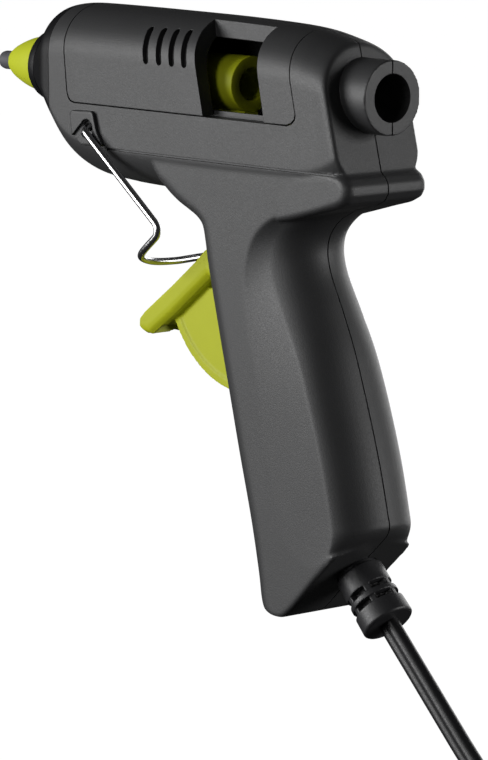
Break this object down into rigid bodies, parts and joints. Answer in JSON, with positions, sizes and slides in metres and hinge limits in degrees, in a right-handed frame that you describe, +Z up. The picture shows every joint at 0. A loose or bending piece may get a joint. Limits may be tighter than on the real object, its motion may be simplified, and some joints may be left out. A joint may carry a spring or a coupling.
{
  "type": "hot melt glue gun",
  "caption": "Corded hot melt glue gun with pistol handle, lever trigger, sliding stick carriage behind a side window, sleeved nozzle and folding wire stand.",
  "frame": {"origin": "middle of the handle's grip, on the gun's plane of symmetry", "axes": "+X along the barrel towards the nozzle tip, +Y to the gun's left, +Z up"},
  "size_m": [0.2158, 0.0806, 0.2169],
  "materials": {
    "housing": "fine-grained matte moulding",
    "black": "smooth black, heat resistant",
    "lime": "satin lime green",
    "silicone": "soft lime silicone",
    "steel": "dark plain steel",
    "chrome": "bright plated wire",
    "alu": "die cast",
    "brass": "turned, nickel-free",
    "ceramic": "fired, matte",
    "rubber": "translucent grey silicone",
    "cord": "flexible black sheath",
    "lead_red": "core insulation",
    "lead_blue": "core insulation"
  },
  "bodies": {
    "housing": {"hood": "housing", "left_shell": "housing", "right_shell": "housing", "trigger_pin": "steel", "nose_collar": "black", "nozzle": "steel", "nozzle_cap": "silicone", "heating_chamber": "alu", "heater": "ceramic", "heater_clip": "steel", "inlet_sleeve": "rubber", "sleeve_clamp": "steel", "return_spring": "steel", "strain_relief": "black", "cord": "cord", "cord_coil": "cord", "cord_tail": "cord", "plug": "cord", "plug_pin_a": "brass", "plug_pin_b": "brass", "lead_live": "lead_red", "lead_neutral": "lead_blue", "splice_live": "rubber", "splice_neutral": "rubber", "screw_1": "steel", "screw_2": "steel", "screw_3": "steel", "screw_4": "steel", "screw_5": "steel", "screw_6": "steel"},
    "carriage": {"carriage": "lime", "drive_pin": "steel", "jaw_pin": "steel"},
    "jaw": {"jaw": "steel"},
    "trigger": {"trigger": "lime"},
    "stand": {"wire_stand": "chrome"}
  },
  "joints": [
    {"name": "trigger_pull", "type": "hinge", "parent": "housing", "child": "trigger", "pos_m": [0.024, 0, 0.025], "axis": [0, 1, 0], "range_deg": [0, 20], "stiffness_Nm_per_rad": 0.4, "springref_deg": -20.05, "deforming": ["return_spring"]},
    {"name": "carriage_feed", "type": "slide", "parent": "housing", "child": "carriage", "axis": [1, 0, 0], "range_m": [0, 0.01253]},
    {"name": "jaw_bite", "type": "hinge", "parent": "carriage", "child": "jaw", "pos_m": [0.0294, 0, 0.0633], "axis": [0, 1, 0], "range_deg": [0, 8]},
    {"name": "stand_swing", "type": "hinge", "parent": "housing", "child": "stand", "pos_m": [0.0709, 0, 0.059], "axis": [0, -1, 0], "range_deg": [0, 85]}
  ],
  "couplings": [
    {"joint": "carriage_feed", "follows": "trigger_pull", "m_per_rad": 0.03587},
    {"joint": "jaw_bite", "follows": "trigger_pull", "ratio": 0.4}
  ]
}
